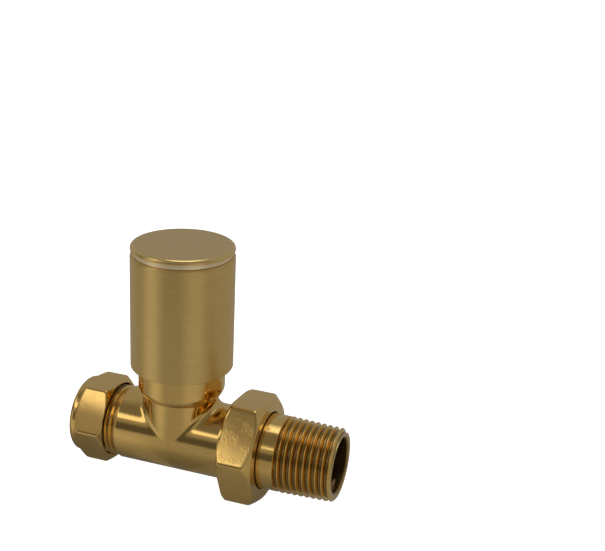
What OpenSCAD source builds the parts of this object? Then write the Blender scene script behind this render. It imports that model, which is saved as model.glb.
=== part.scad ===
// Straight lockshield radiator valve, 15 mm pipe to 1/2 inch radiator tail.
// X runs along the pipe, from the pipe's stop in the socket (x = 0) towards the radiator.
// Z is up the spindle. Every part is drawn where it sits with the valve shut and both nuts tight.

/* [Pipe run] */
// radius of the round pipe run of the body
run_r = 10.7; // [10.65:0.05:11]
// distance from the pipe's stop to the spindle's centre line
spindle_x = 10; // [9.5:0.5:11]
// wall radius of the socket that takes a 15 mm pipe
socket_r = 7.6; // [7.55:0.05:7.7]
// length of the socket's straight wall
socket_length = 12.6; // [12:0.2:13]
// radius of the water ways inside the body
water_r = 3.9; // [3.5:0.1:3.9]
// radius of the upright branch under the cap
branch_r = 10.5; // [10.5:0.1:10.6]

/* [Compression joint] */
// width across flats of the compression nut
pipe_nut_flats = 22.7; // [22.6:0.1:25]
// length of the nut's six flats
pipe_nut_hex = 8.9; // [8.5:0.1:9.5]
// length of the round nose beyond the flats
pipe_nut_nose = 2.3; // [2.1:0.1:2.6]
// how far the nut is turned from a corner upwards, in degrees
pipe_nut_turn = 27.5; // [0:0.5:59]
// crest radius of the thread under the nut
pipe_thread_r = 10.25; // [10.1:0.05:10.3]
// distance between the crests of that thread
pipe_thread_pitch = 1.5; // [1.5:0.25:1.75]

/* [Union and tail] */
// width across flats of the union nut
union_nut_flats = 28.7; // [28.7:0.1:32]
// length of the union nut
union_nut_length = 9.9; // [9.8:0.1:11]
// how far the nut is turned from a corner upwards, in degrees
union_nut_turn = 23.5; // [0:0.5:59]
// crest radius of the body's thread under the union nut
union_thread_r = 13.05; // [12.8:0.05:13.1]
// radius of the smooth shank of the tail
shank_r = 10.7; // [10.65:0.05:10.8]
// crest radius of the tail's 1/2 inch pipe thread
tail_thread_r = 10.48; // [10.4:0.02:10.5]
// distance between the crests of the tail's thread
tail_thread_pitch = 1.814; // [1.8:0.007:1.828]
// number of crests on the tail
tail_turns = 9; // [7:1:9]
// bore of the tail
tail_bore_r = 7.9; // [7.8:0.1:8]

/* [Cap] */
// outer radius of the brushed sleeve
sleeve_r = 14.6; // [14.5:0.05:15]
// height of the sleeve's lower edge above the run's centre line
sleeve_bottom = 22.05; // [21.5:0.05:22.5]
// height of the sleeve's upper edge
sleeve_top = 55.25; // [54.5:0.05:56]
// thickness of the sleeve
sleeve_wall = 0.92; // [0.8:0.04:0.92]
// height of the polished band between sleeve and lid
band_height = 1.3; // [1.2:0.05:1.5]
// outer radius of the lid
lid_r = 14.55; // [14.45:0.05:14.65]
// thickness of the lid
lid_height = 1.5; // [1.4:0.05:1.8]

/* [Headwork] */
// width across flats of the bonnet
bonnet_flats = 19; // [18:0.5:19]
// radius of the bonnet's neck, which the cap slides on
neck_r = 7; // [6.9:0.05:7]
// radius of the spindle in its seals
spindle_r = 3.5; // [3.45:0.01:3.5]
// width across flats of the spindle's square end
spindle_square = 5; // [4.5:0.25:5]
// width of the square guide that stops the plug from turning
guide_square = 9; // [8.8:0.1:9]
// how far the plug rises when the valve is fully open
plug_lift = 3.75; // [3:0.25:3.75]

/* [Hidden] */
$fn = 96;

brass = [0.79, 0.64, 0.36];
satin_brass = [0.74, 0.62, 0.38];
raw_brass = [0.84, 0.7, 0.4];
steel = [0.72, 0.73, 0.75];
rubber = [0.08, 0.08, 0.08];
white_plastic = [0.9, 0.9, 0.88];

// a hair of room between two pieces that touch without moving on each other
seat_gap = 0.02;
// radial room where one piece turns or slides on another
running_gap = 0.05;
// overlap that lets a cut pass cleanly through a face
cut = 1;

// pipe end of the body
mouth_x = -socket_length - 1.4;
mouth_r = 9;
pipe_thread_end = -6.8;
pipe_thread_depth = 0.75;
pipe_nut_bore_r = pipe_thread_r + 0.35;
pipe_nut_right = -10;
pipe_nut_left = pipe_nut_right - pipe_nut_hex;
pipe_nut_face = pipe_nut_left - pipe_nut_nose;
pipe_nut_nose_r = pipe_nut_flats / 2;
pipe_hole_r = socket_r + 0.25;
olive_right = mouth_x + 0.6;
olive_length = 5;
olive_r = 8.9;
olive_left = olive_right - olive_length;
olive_cone = 1.2;
olive_end_r = pipe_hole_r + 0.25;

// union end of the body
flare_r = 12.6;
flare_round = flare_r - run_r;
union_nut_left = spindle_x + 17.3;
union_nut_right = union_nut_left + union_nut_length;
union_shoulder = union_nut_left - 0.15;
union_thread_start = union_nut_left + 0.85;
union_thread_pitch = 1.814;
union_thread_depth = 0.9;
body_end = union_nut_left + 5.85;
tail_face = body_end + running_gap;
flange_r = 12.4;
flange_end = tail_face + 1.75;
lip_start = flange_end + running_gap;
lip_r = shank_r + 0.3;
union_nut_bore_r = union_thread_r + 0.1;
seal_ring_r = 9.6;
seal_cord_r = 0.45;
outlet_start = spindle_x + 17;
thread_start = spindle_x + 32.3;
tail_end = thread_start + tail_turns * tail_thread_pitch + 0.05;
tail_thread_depth = 1.16;
lug_height = 2.9;
lug_width = 3;
lug_length = 14;

// seat and water ways
inlet_z = -3.4;
outlet_z = 5.2;
chamber_floor = 3.9;
seat_z = 4.4;
seat_r = 5;
chamber_r = 7.6;
branch_top = 17;
bonnet_bottom = 9.6;
bonnet_thread_r = 8.55;
seal_pocket_r = 9.7;
seal_pocket_z = 15.8;

// shroud cup
cup_r = 12.4;
cup_round = 3.4;
cup_round_z = 16;
cup_mouth_r = 10.65;
cup_web_top = 18;
cup_top = 23.2;

// bonnet and spindle
hex_top = 23.5;
neck_top = 34;
guide_bottom = 12.9;
guide_top = 22.6;
flange_pocket_top = 25;
guide_gap = 0.1;
collar_r = 4.5;
collar_bottom = 22.8;
collar_top = 24.4;
stem_r = 3.1;
stem_bottom = 14.2;
groove_r = 2.45;
groove_half = 0.7;
o_ring_cord_r = 0.5;
seal_z = [27.2, 30.4];
circlip_z = 34.3;
circlip_height = 0.8;
square_bottom = 36;
spindle_top = 43;

// plug
plug_bottom = 6.5;
plug_head_top = 9;
plug_head_r = 5.9;
plug_top = guide_top - 0.15 - plug_lift;
plug_bore_bottom = 10.2;
washer_r = 5.6;
screw_r = 1.5;
screw_head_r = 2.6;

// cap
sleeve_inner_r = sleeve_r - sleeve_wall;
insert_r = sleeve_inner_r - seat_gap;
insert_inner_r = insert_r - 0.97;
insert_bottom = 24;
insert_top = sleeve_top - 0.05;
web_bottom = 34.5;
web_top = 36;
boss_r = 9.8;
boss_hole_r = 7.6;
boss_bottom = 26.5;
ring_r = 8.2;
ring_bottom = 28;
ring_top = 31;
band_r = 13.95;
spigot_r = insert_inner_r - seat_gap;
spigot_inner_r = spigot_r - 1.3;
spigot_bottom = 50.5;
lid_bottom = sleeve_top + band_height;
lid_top = lid_bottom + lid_height;
lid_round = 1;

// Turns the Z axis of what follows onto the run's axis, starting at x.
module along_run(x = 0) {
    translate([x, 0, 0])
        rotate([0, 90, 0])
            children();
}

// Moves what follows onto the spindle's centre line.
module on_spindle(z = 0) {
    translate([spindle_x, 0, z])
        children();
}

// Corner points of a row of V grooves cut between flat crests, as [radius, height] pairs.
function thread_profile(radius, depth, pitch, start, turns) = [
    for (turn = [0 : turns - 1])
        for (corner = [[radius, 0.14], [radius, 0.36], [radius - depth, 0.82], [radius - depth, 0.94]])
            [corner[0], start + (turn + corner[1]) * pitch]
];

// Points of a quarter round from the side of radius r round to the flat at height z.
function quarter_round(r, z, round_r, steps = 8) = [
    for (step = [0 : steps])
        [r - round_r * (1 - cos(90 * step / steps)), z - round_r * (1 - sin(90 * step / steps))]
];

// A six-sided prism whose corners are turned off by a cone at both ends.
module hex_blank(flats, length, bottom_turn, top_turn) {
    corner_r = flats / sqrt(3);
    intersection() {
        cylinder(r = corner_r, h = length, $fn = 6);
        rotate_extrude()
            polygon([
                [0, 0], [flats / 2 - 0.1, 0], [corner_r, bottom_turn],
                [corner_r, length - top_turn], [flats / 2 - 0.1, length], [0, length]
            ]);
    }
}

// An O-ring of circular section.
module o_ring(ring_r, cord_r) {
    rotate_extrude()
        translate([ring_r, 0])
            circle(r = cord_r, $fn = 48);
}

module tube(outer_r, inner_r, bottom, top) {
    translate([0, 0, bottom])
        difference() {
            cylinder(r = outer_r, h = top - bottom);
            translate([0, 0, -cut])
                cylinder(r = inner_r, h = top - bottom + 2 * cut);
        }
}

// Outline of the turned run: pipe thread, plain barrel, flared shoulder and union thread.
module run_solid() {
    pipe_turns = floor((pipe_thread_end - mouth_x) / pipe_thread_pitch);
    pipe_start = pipe_thread_end - pipe_turns * pipe_thread_pitch;
    union_turns = floor((body_end - union_thread_start) / union_thread_pitch);
    union_root_r = union_thread_r - union_thread_depth;
    along_run()
        rotate_extrude()
            polygon(concat(
                [[0, mouth_x], [pipe_thread_r - pipe_thread_depth, mouth_x]],
                thread_profile(pipe_thread_r, pipe_thread_depth, pipe_thread_pitch, pipe_start, pipe_turns),
                [[run_r - 0.5, pipe_thread_end], [run_r, pipe_thread_end + 0.5]],
                [for (step = [0 : 6])
                    [flare_r - flare_round * cos(15 * step),
                     union_shoulder - flare_round * (1 - sin(15 * step))]],
                [[union_root_r, union_shoulder], [union_root_r, union_thread_start]],
                thread_profile(union_thread_r, union_thread_depth, union_thread_pitch,
                    union_thread_start, union_turns),
                [[union_root_r, body_end], [0, body_end]]
            ));
}

// The upright branch with the sloping web that blends it into the run.
module branch_solid() {
    on_spindle()
        cylinder(r = branch_r, h = branch_top);
    intersection() {
        on_spindle(8.4)
            cylinder(r1 = branch_r + 3.8, r2 = branch_r, h = 3.8);
        along_run()
            cylinder(r = run_r + 1.7, h = 3 * spindle_x);
    }
}

module valve_body() {
    color(brass)
        difference() {
            union() {
                run_solid();
                branch_solid();
            }
            // pipe socket with a coned mouth for the olive
            along_run(-socket_length)
                cylinder(r = socket_r, h = socket_length);
            along_run(mouth_x - cut)
                cylinder(r1 = mouth_r + cut, r2 = socket_r, h = 1.4 + cut);
            // inlet, seat and outlet
            translate([0, 0, inlet_z])
                along_run(-cut)
                    cylinder(r = water_r, h = spindle_x + water_r + cut);
            on_spindle(inlet_z)
                cylinder(r = water_r, h = seat_z - inlet_z + cut);
            on_spindle()
                tube(chamber_r, seat_r, chamber_floor, seat_z + cut);
            on_spindle(seat_z)
                cylinder(r = chamber_r, h = branch_top);
            translate([0, 0, outlet_z])
                along_run(spindle_x + water_r + 2.3)
                    cylinder(r = water_r, h = outlet_start + 0.5 - spindle_x - water_r - 2.3);
            along_run(outlet_start)
                cylinder(r = tail_bore_r, h = body_end - outlet_start + cut);
            // bonnet thread and the pocket of its seal
            on_spindle(bonnet_bottom - 0.1)
                cylinder(r = bonnet_thread_r + seat_gap, h = branch_top);
            on_spindle(seal_pocket_z)
                cylinder(r = seal_pocket_r, h = branch_top);
        }
}

module compression_nut() {
    color(brass)
        difference() {
            union() {
                along_run(pipe_nut_left)
                    rotate([0, 0, pipe_nut_turn])
                        hex_blank(pipe_nut_flats, pipe_nut_hex, 1.3, 1);
                along_run(pipe_nut_face)
                    mirror([0, 0, 1])
                        translate([0, 0, -pipe_nut_nose - cut])
                            rotate_extrude()
                                polygon(concat(
                                    [[0, 0], [pipe_nut_nose_r, 0]],
                                    quarter_round(pipe_nut_nose_r, pipe_nut_nose + cut, 1.3),
                                    [[0, pipe_nut_nose + cut]]
                                ));
            }
            // threaded cavity, cone that presses the olive, and hole for the pipe
            along_run(mouth_x - 2.2)
                cylinder(r = pipe_nut_bore_r, h = pipe_nut_hex + pipe_nut_nose);
            along_run(olive_left - 0.1)
                cylinder(r1 = olive_end_r + running_gap, r2 = olive_r + 0.9,
                    h = mouth_x - 2.1 - olive_left);
            along_run(pipe_nut_face - cut)
                cylinder(r = pipe_hole_r, h = pipe_nut_hex);
        }
}

module compression_olive() {
    color(raw_brass)
        along_run(olive_left)
            difference() {
                rotate_extrude()
                    polygon([
                        [0, 0], [olive_end_r, 0], [olive_r, olive_cone],
                        [olive_r, olive_length - olive_cone - 0.8], [olive_end_r, olive_length],
                        [0, olive_length]
                    ]);
                translate([0, 0, -cut])
                    cylinder(r = pipe_hole_r - 0.05, h = olive_length + 2 * cut);
            }
}

module union_nut() {
    color(brass)
        difference() {
            along_run(union_nut_left)
                rotate([0, 0, union_nut_turn])
                    hex_blank(union_nut_flats, union_nut_length, 1.9, 1.9);
            along_run(union_nut_left - cut)
                cylinder(r = union_nut_bore_r, h = lip_start - union_nut_left + cut);
            along_run(union_nut_left)
                cylinder(r = lip_r, h = union_nut_length + cut);
        }
}

// Flange, smooth shank and pipe thread, with two lugs inside for the fitting key.
module union_tail() {
    thread_root_r = tail_thread_r - tail_thread_depth;
    color(brass)
        difference() {
            along_run()
                rotate_extrude()
                    polygon(concat(
                        [[tail_bore_r, tail_face], [flange_r, tail_face], [flange_r, flange_end],
                         [shank_r, flange_end], [shank_r, thread_start - 0.5],
                         [thread_root_r, thread_start]],
                        thread_profile(tail_thread_r, tail_thread_depth, tail_thread_pitch,
                            thread_start, tail_turns),
                        [[thread_root_r, tail_end], [tail_bore_r, tail_end]]
                    ));
            along_run(tail_face - cut)
                tube(seal_ring_r + 0.6, seal_ring_r - 0.6, 0, cut + 2 * seal_cord_r + 0.05);
        }
    color(brass)
        intersection() {
            along_run(tail_end - 1.5 - lug_length)
                cylinder(r = tail_bore_r + 0.3, h = lug_length);
            for (side = [-1, 1])
                translate([tail_end - 1.5 - lug_length, -lug_width / 2, side * tail_bore_r - lug_height])
                    cube([lug_length, lug_width, 2 * lug_height]);
        }
}

module union_seal() {
    color(rubber)
        along_run(tail_face + seal_cord_r)
            o_ring(seal_ring_r, seal_cord_r);
}

// Thin shroud that hides the bonnet's hexagon, clamped between bonnet and branch.
module shroud_cup() {
    lowest_turn = acos((cup_mouth_r - cup_r + cup_round) / cup_round);
    lower_edge = [for (step = [0 : 8])
        [cup_r - cup_round * (1 - cos(lowest_turn * step / 8)),
         cup_round_z - cup_round * sin(lowest_turn * step / 8)]];
    color(brass)
        on_spindle()
            rotate_extrude()
                polygon(concat(
                    [[bonnet_thread_r + 0.15, cup_web_top], [cup_r - 1.1, cup_web_top],
                     [cup_r - 1.1, cup_top], [cup_r, cup_top]],
                    lower_edge,
                    [[cup_mouth_r, branch_top + seat_gap],
                     [bonnet_thread_r + 0.15, branch_top + seat_gap]]
                ));
}

module bonnet() {
    color(raw_brass)
        on_spindle()
            difference() {
                union() {
                    translate([0, 0, bonnet_bottom])
                        cylinder(r = bonnet_thread_r, h = hex_top - bonnet_bottom);
                    translate([0, 0, cup_web_top + seat_gap])
                        hex_blank(bonnet_flats, hex_top - cup_web_top - seat_gap, 0.6, 1);
                    translate([0, 0, hex_top - cut])
                        rotate_extrude()
                            polygon([
                                [0, 0], [neck_r, 0], [neck_r, neck_top - hex_top + cut - 0.6],
                                [neck_r - 0.6, neck_top - hex_top + cut], [0, neck_top - hex_top + cut]
                            ]);
                }
                translate([0, 0, bonnet_bottom - cut])
                    cylinder(r = plug_head_r + 0.35, h = guide_bottom - bonnet_bottom + cut);
                translate([-guide_square / 2 - guide_gap, -guide_square / 2 - guide_gap, bonnet_bottom])
                    cube([guide_square + 2 * guide_gap, guide_square + 2 * guide_gap,
                        guide_top - bonnet_bottom]);
                translate([0, 0, guide_top - 0.1])
                    cylinder(r = collar_r + guide_gap, h = flange_pocket_top - guide_top + 0.1);
                translate([0, 0, guide_top])
                    cylinder(r = spindle_r + running_gap, h = neck_top);
            }
}

module bonnet_seal() {
    color(rubber)
        on_spindle((seal_pocket_z + branch_top) / 2)
            o_ring(bonnet_thread_r + o_ring_cord_r + 0.05, o_ring_cord_r);
}

// Spindle: threaded stem in the plug, thrust collar, shaft with two seals, square end for a key.
module spindle() {
    color(raw_brass)
        on_spindle()
            union() {
                rotate_extrude()
                    polygon([
                        [0, stem_bottom], [stem_r - 0.4, stem_bottom], [stem_r, stem_bottom + 0.4],
                        [stem_r, collar_bottom], [collar_r, collar_bottom], [collar_r, collar_top],
                        [spindle_r, collar_top],
                        [spindle_r, seal_z[0] - groove_half], [groove_r, seal_z[0] - groove_half],
                        [groove_r, seal_z[0] + groove_half], [spindle_r, seal_z[0] + groove_half],
                        [spindle_r, seal_z[1] - groove_half], [groove_r, seal_z[1] - groove_half],
                        [groove_r, seal_z[1] + groove_half], [spindle_r, seal_z[1] + groove_half],
                        [spindle_r, circlip_z - 0.05], [groove_r + 0.35, circlip_z - 0.05],
                        [groove_r + 0.35, circlip_z + circlip_height + 0.05],
                        [spindle_r, circlip_z + circlip_height + 0.05],
                        [spindle_r, square_bottom], [0, square_bottom]
                    ]);
                intersection() {
                    translate([-spindle_square / 2, -spindle_square / 2, square_bottom - 0.5])
                        cube([spindle_square, spindle_square, spindle_top - square_bottom + 0.5]);
                    rotate_extrude()
                        polygon([
                            [0, square_bottom - 0.5], [spindle_r - 0.1, square_bottom - 0.5],
                            [spindle_r - 0.1, spindle_top - 1], [spindle_r - 1.1, spindle_top],
                            [0, spindle_top]
                        ]);
                }
            }
}

module spindle_seal_lower() {
    color(rubber)
        on_spindle(seal_z[0])
            o_ring(groove_r + o_ring_cord_r + seat_gap, o_ring_cord_r);
}

module spindle_seal_upper() {
    color(rubber)
        on_spindle(seal_z[1])
            o_ring(groove_r + o_ring_cord_r + seat_gap, o_ring_cord_r);
}

module thrust_washer() {
    color(white_plastic)
        on_spindle()
            tube(collar_r, spindle_r + running_gap, collar_top + seat_gap, flange_pocket_top - 0.05);
}

module spindle_circlip() {
    color(steel)
        on_spindle()
            difference() {
                tube(4.8, groove_r + 0.4, circlip_z, circlip_z + circlip_height);
                translate([0, -2.2, circlip_z - cut])
                    cube([2 * collar_r, 4.4, circlip_height + 2 * cut]);
            }
}

// Plug that rises off the seat; its square shank slides in the bonnet and cannot turn.
module valve_plug() {
    color(raw_brass)
        on_spindle()
            difference() {
                union() {
                    translate([0, 0, plug_bottom])
                        cylinder(r = plug_head_r, h = plug_head_top - plug_bottom);
                    intersection() {
                        translate([-guide_square / 2, -guide_square / 2, plug_bottom])
                            cube([guide_square, guide_square, plug_top - plug_bottom]);
                        translate([0, 0, plug_bottom])
                            cylinder(r = guide_square * 0.68, h = plug_top - plug_bottom);
                    }
                }
                translate([0, 0, plug_bore_bottom])
                    cylinder(r = stem_r + running_gap, h = plug_top);
                translate([0, 0, plug_bottom - cut])
                    cylinder(r = screw_r + seat_gap, h = plug_bore_bottom - plug_bottom + cut - 0.6);
            }
}

module plug_washer() {
    color(rubber)
        on_spindle()
            tube(washer_r, screw_r + 0.1, seat_z + running_gap, plug_bottom - seat_gap);
}

module plug_screw() {
    head_top = seat_z + running_gap - seat_gap;
    color(steel)
        on_spindle()
            difference() {
                union() {
                    translate([0, 0, head_top - 1.3])
                        cylinder(r = screw_head_r, h = 1.3);
                    translate([0, 0, head_top - 0.2])
                        cylinder(r = screw_r, h = 4.6);
                }
                translate([-screw_head_r - cut, -0.35, head_top - 1.3 - cut])
                    cube([2 * (screw_head_r + cut), 0.7, cut + 0.6]);
            }
}

module cap_sleeve() {
    edge = 0.3;
    color(satin_brass)
        on_spindle()
            rotate_extrude()
                polygon([
                    [sleeve_inner_r, sleeve_bottom], [sleeve_r - edge, sleeve_bottom],
                    [sleeve_r, sleeve_bottom + edge], [sleeve_r, sleeve_top - edge],
                    [sleeve_r - edge, sleeve_top], [sleeve_inner_r, sleeve_top]
                ]);
}

module cap_band() {
    color(brass)
        on_spindle()
            tube(band_r, spigot_r + seat_gap, sleeve_top + seat_gap, lid_bottom - seat_gap);
}

module cap_lid() {
    color(satin_brass)
        on_spindle()
            rotate_extrude()
                polygon(concat(
                    [[0, lid_bottom], [spigot_inner_r, lid_bottom], [spigot_inner_r, spigot_bottom],
                     [spigot_r, spigot_bottom], [spigot_r, lid_bottom], [lid_r - 0.25, lid_bottom],
                     [lid_r, lid_bottom + 0.25]],
                    quarter_round(lid_r, lid_top, lid_round),
                    [[0, lid_top]]
                ));
}

// Moulded liner: outer tube, cross web and the boss that holds the grip ring.
module cap_insert() {
    color(white_plastic)
        on_spindle()
            difference() {
                union() {
                    tube(insert_r, insert_inner_r, insert_bottom, insert_top);
                    translate([0, 0, web_bottom])
                        cylinder(r = insert_r - 0.3, h = web_top - web_bottom);
                    translate([0, 0, boss_bottom])
                        cylinder(r = boss_r, h = web_top - boss_bottom);
                }
                translate([0, 0, boss_bottom - cut])
                    cylinder(r = boss_hole_r, h = web_top - boss_bottom + 2 * cut);
                translate([0, 0, ring_bottom - running_gap])
                    cylinder(r = ring_r + running_gap, h = ring_top - ring_bottom + 2 * running_gap);
            }
}

module cap_grip_ring() {
    color(white_plastic)
        on_spindle()
            tube(ring_r, neck_r + running_gap, ring_bottom, ring_top);
}

valve_body();
compression_nut();
compression_olive();
union_nut();
union_tail();
union_seal();
shroud_cup();
bonnet();
bonnet_seal();
spindle();
spindle_seal_lower();
spindle_seal_upper();
thrust_washer();
spindle_circlip();
valve_plug();
plug_washer();
plug_screw();
cap_sleeve();
cap_band();
cap_lid();
cap_insert();
cap_grip_ring();
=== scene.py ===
# %% [markdown]
# # A brass lockshield valve
# A lockshield valve sits at one end of a radiator. Copper pipe goes in at the left through a
# compression nut, water turns up through a seat under the cap, and leaves through a threaded tail.
# Nearly every piece is turned on a lathe, and the nuts are milled to six flats afterwards. The
# script works in much the same way: outlines are turned, nuts are pulled in to their flats, and
# threads are screwed.
# The packed parts are loaded first. They give every place and size, and they carry the joints.

# %% Load the packed parts
import math

import bpy
import bmesh
from mathutils import Matrix, Vector


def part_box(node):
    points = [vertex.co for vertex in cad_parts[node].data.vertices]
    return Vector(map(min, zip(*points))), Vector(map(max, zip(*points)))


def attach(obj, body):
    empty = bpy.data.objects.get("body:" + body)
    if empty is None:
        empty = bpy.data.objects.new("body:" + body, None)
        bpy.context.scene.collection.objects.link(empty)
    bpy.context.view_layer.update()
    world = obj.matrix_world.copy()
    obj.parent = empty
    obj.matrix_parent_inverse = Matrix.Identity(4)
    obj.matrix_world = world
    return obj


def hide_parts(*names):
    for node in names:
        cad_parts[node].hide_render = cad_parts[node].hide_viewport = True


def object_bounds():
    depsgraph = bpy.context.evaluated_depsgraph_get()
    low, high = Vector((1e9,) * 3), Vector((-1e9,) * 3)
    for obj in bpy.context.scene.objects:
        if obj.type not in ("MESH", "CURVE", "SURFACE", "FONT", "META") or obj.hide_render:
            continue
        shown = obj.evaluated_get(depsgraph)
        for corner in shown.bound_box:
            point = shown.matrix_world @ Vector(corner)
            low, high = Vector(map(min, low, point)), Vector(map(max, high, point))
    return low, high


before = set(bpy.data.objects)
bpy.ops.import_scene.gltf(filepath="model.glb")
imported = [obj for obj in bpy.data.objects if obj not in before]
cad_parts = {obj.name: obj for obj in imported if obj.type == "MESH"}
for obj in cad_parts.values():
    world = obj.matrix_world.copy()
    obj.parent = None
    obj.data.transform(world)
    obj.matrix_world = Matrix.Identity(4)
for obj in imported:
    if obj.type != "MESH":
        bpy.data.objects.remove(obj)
packed_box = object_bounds()
print("packed parts:", len(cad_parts), "box:", [list(corner) for corner in packed_box])

# %% [markdown]
# ## Measures
# Blender works in metres here and the valve is small, so a millimetre gets a name. The boxes of the
# packed parts give the ends and the outer sizes of each piece. Radii that no box can give, such as
# the waist of a groove, are written once where they are used.

# %% Measures taken from the packed parts
MM = 0.001
WELD = 0.002 * MM  # points closer than this are one point
TURN_STEPS = 160


def box_mm(node):
    """Lowest and highest corner of a packed part, in millimetres."""
    low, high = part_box(node)
    return low / MM, high / MM


body_low, body_high = box_mm("valve_body")
pipe_nut_low, pipe_nut_high = box_mm("compression_nut")
union_nut_low, union_nut_high = box_mm("union_nut")
tail_low, tail_high = box_mm("union_tail")
cup_low, cup_high = box_mm("shroud_cup")
sleeve_low, sleeve_high = box_mm("cap_sleeve")
lid_low, lid_high = box_mm("cap_lid")
spindle_x = (sleeve_low.x + sleeve_high.x) / 2
print("spindle line at x =", round(spindle_x, 3), "mm")

# %% [markdown]
# ## The lathe
# A turned piece is a single outline swept round an axis. In Blender a plane is merged to one point,
# the point is extruded from corner to corner of the outline, and Spin carries the line full circle.
# Corners are rounded before that, because a real edge is never sharp and a polished one shows it.

# %% Tools for selecting and for finishing a piece
def only(piece):
    """Makes one piece the selected and active one."""
    bpy.ops.object.select_all(action="DESELECT")
    piece.select_set(True)
    bpy.context.view_layer.objects.active = piece


def in_edit_mode(piece):
    only(piece)
    bpy.ops.object.mode_set(mode="EDIT")
    bpy.ops.mesh.select_mode(type="VERT")
    bpy.ops.mesh.select_all(action="SELECT")


def apply_modifier(piece, modifier):
    only(piece)
    bpy.ops.object.modifier_apply(modifier=modifier.name)


def settle(piece):
    """Puts the origin back at the world's, with the place of the piece in its mesh."""
    only(piece)
    bpy.ops.object.transform_apply(location=True, rotation=True, scale=True)


def edge_use(piece):
    """How many faces meet at each edge: two everywhere on a closed piece."""
    mesh = bmesh.new()
    mesh.from_mesh(piece.data)
    counts = [len(edge.link_faces) for edge in mesh.edges]
    mesh.free()
    return counts


def tell(piece):
    """Prints the size of a piece, and how many of its edges don't join exactly two faces."""
    low = [min(v.co[i] for v in piece.data.vertices) / MM for i in range(3)]
    high = [max(v.co[i] for v in piece.data.vertices) / MM for i in range(3)]
    odd_edges = sum(1 for faces in edge_use(piece) if faces != 2)
    print(piece.name, len(piece.data.polygons), "faces,", odd_edges, "odd edges, from",
          [round(a, 2) for a in low], "to", [round(a, 2) for a in high], "mm")


print("tools ready; points closer than", WELD / MM, "mm are welded")


# %% Rounded outlines
def rounded(corners, pieces=5):
    """Outline points from corners (along, radius, rounding): each rounded corner becomes an arc."""
    points = []
    last = len(corners) - 1
    for i, (along, radius, rounding) in enumerate(corners):
        here = Vector((along, radius))
        if rounding == 0 or i in (0, last):
            points.append(here)
            continue
        before = (Vector(corners[i - 1][:2]) - here).normalized()
        after = (Vector(corners[i + 1][:2]) - here).normalized()
        half = math.acos(max(-1, min(1, before.dot(after)))) / 2
        middle = here + (before + after).normalized() * rounding / math.sin(half)
        start = here + before * rounding / math.tan(half) - middle
        end = here + after * rounding / math.tan(half) - middle
        sweep = start.angle_signed(end)
        for step in range(pieces + 1):
            points.append(middle + Matrix.Rotation(-sweep * step / pieces, 2) @ start)
    return points


one_corner = rounded([(0, 0, 0), (0, 2, 0.5), (2, 2, 0)])
print("one rounded corner and its two ends make", len(one_corner), "points")


# %% The lathe itself
def turned(name, outline, upright=False, steps=TURN_STEPS):
    """Turns an outline of (place along the axis, radius) in millimetres."""
    axis = Vector((0, 0, 1)) if upright else Vector((1, 0, 0))
    side = Vector((1, 0, 0)) if upright else Vector((0, 0, 1))
    centre = Vector((spindle_x * MM, 0, 0)) if upright else Vector((0, 0, 0))
    places = [centre + (axis * along + side * radius) * MM for along, radius in outline]
    bpy.ops.object.select_all(action="DESELECT")
    bpy.ops.mesh.primitive_plane_add(size=MM, location=centre)
    piece = bpy.context.object
    piece.name = piece.data.name = name
    in_edit_mode(piece)
    bpy.ops.mesh.merge(type="CENTER")
    bpy.ops.transform.translate(value=places[0] - centre)
    for here, there in zip(places, places[1:]):
        bpy.ops.mesh.extrude_vertices_move(TRANSFORM_OT_translate={"value": there - here})
    bpy.ops.mesh.select_all(action="SELECT")
    bpy.ops.mesh.spin(steps=steps, angle=2 * math.pi, center=centre, axis=axis)
    bpy.ops.mesh.select_all(action="SELECT")
    bpy.ops.mesh.remove_doubles(threshold=WELD)
    bpy.ops.mesh.normals_make_consistent(inside=False)
    bpy.ops.object.mode_set(mode="OBJECT")
    settle(piece)
    return piece


print("the lathe carries an outline round in", TURN_STEPS, "steps")


# %% Joining and smoothing
def combine(piece, tool, operation):
    """Adds a tool solid to a piece, cuts it out, or keeps what both share."""
    modifier = piece.modifiers.new("combine", "BOOLEAN")
    modifier.object = tool
    modifier.operation = operation
    modifier.solver = "EXACT"
    apply_modifier(piece, modifier)
    bpy.data.objects.remove(tool)


def soften(piece, width, sharper_than=28):
    """Rounds the edges that milling left sharp."""
    modifier = piece.modifiers.new("soft edges", "BEVEL")
    modifier.width = width * MM
    modifier.segments = 3
    modifier.limit_method = "ANGLE"
    modifier.angle_limit = math.radians(sharper_than)
    apply_modifier(piece, modifier)


def smooth(piece, crease=32):
    """Smooth shading that lets big faces keep their own direction."""
    only(piece)
    bpy.ops.object.shade_smooth_by_angle(angle=math.radians(crease))
    modifier = piece.modifiers.new("even normals", "WEIGHTED_NORMAL")
    modifier.mode = "FACE_AREA"
    modifier.weight = 50
    modifier.keep_sharp = True
    apply_modifier(piece, modifier)
    tell(piece)


print("pieces can be joined, softened and shaded")


# %% [markdown]
# ## Screw threads
# A thread is one tooth carried round and forward at once, which is what the Screw modifier does.
# One pitch of the tooth's outline, from root to root, is screwed, its turns are merged, and the
# rod is cut square at both ends and closed. The tail's pipe thread is tapered 1 in 16, so that it
# tightens as it goes in; the Simple Deform modifier tapers the finished rod.

# %% Threaded rods
THREAD_STEPS = 96
ROOT_END, CREST_START = 0.13, 0.44  # shares of a pitch; the tooth is the same on both sides


def tooth_outline(root, crest, pitch):
    """One tooth from root to root, its corners rounded."""
    root_round, crest_round = 0.1 * pitch, 0.08 * pitch
    return rounded([(0, root, 0), (ROOT_END * pitch, root, root_round),
                    (CREST_START * pitch, crest, crest_round),
                    ((1 - CREST_START) * pitch, crest, crest_round),
                    ((1 - ROOT_END) * pitch, root, root_round), (pitch, root, 0)], pieces=3)


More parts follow.
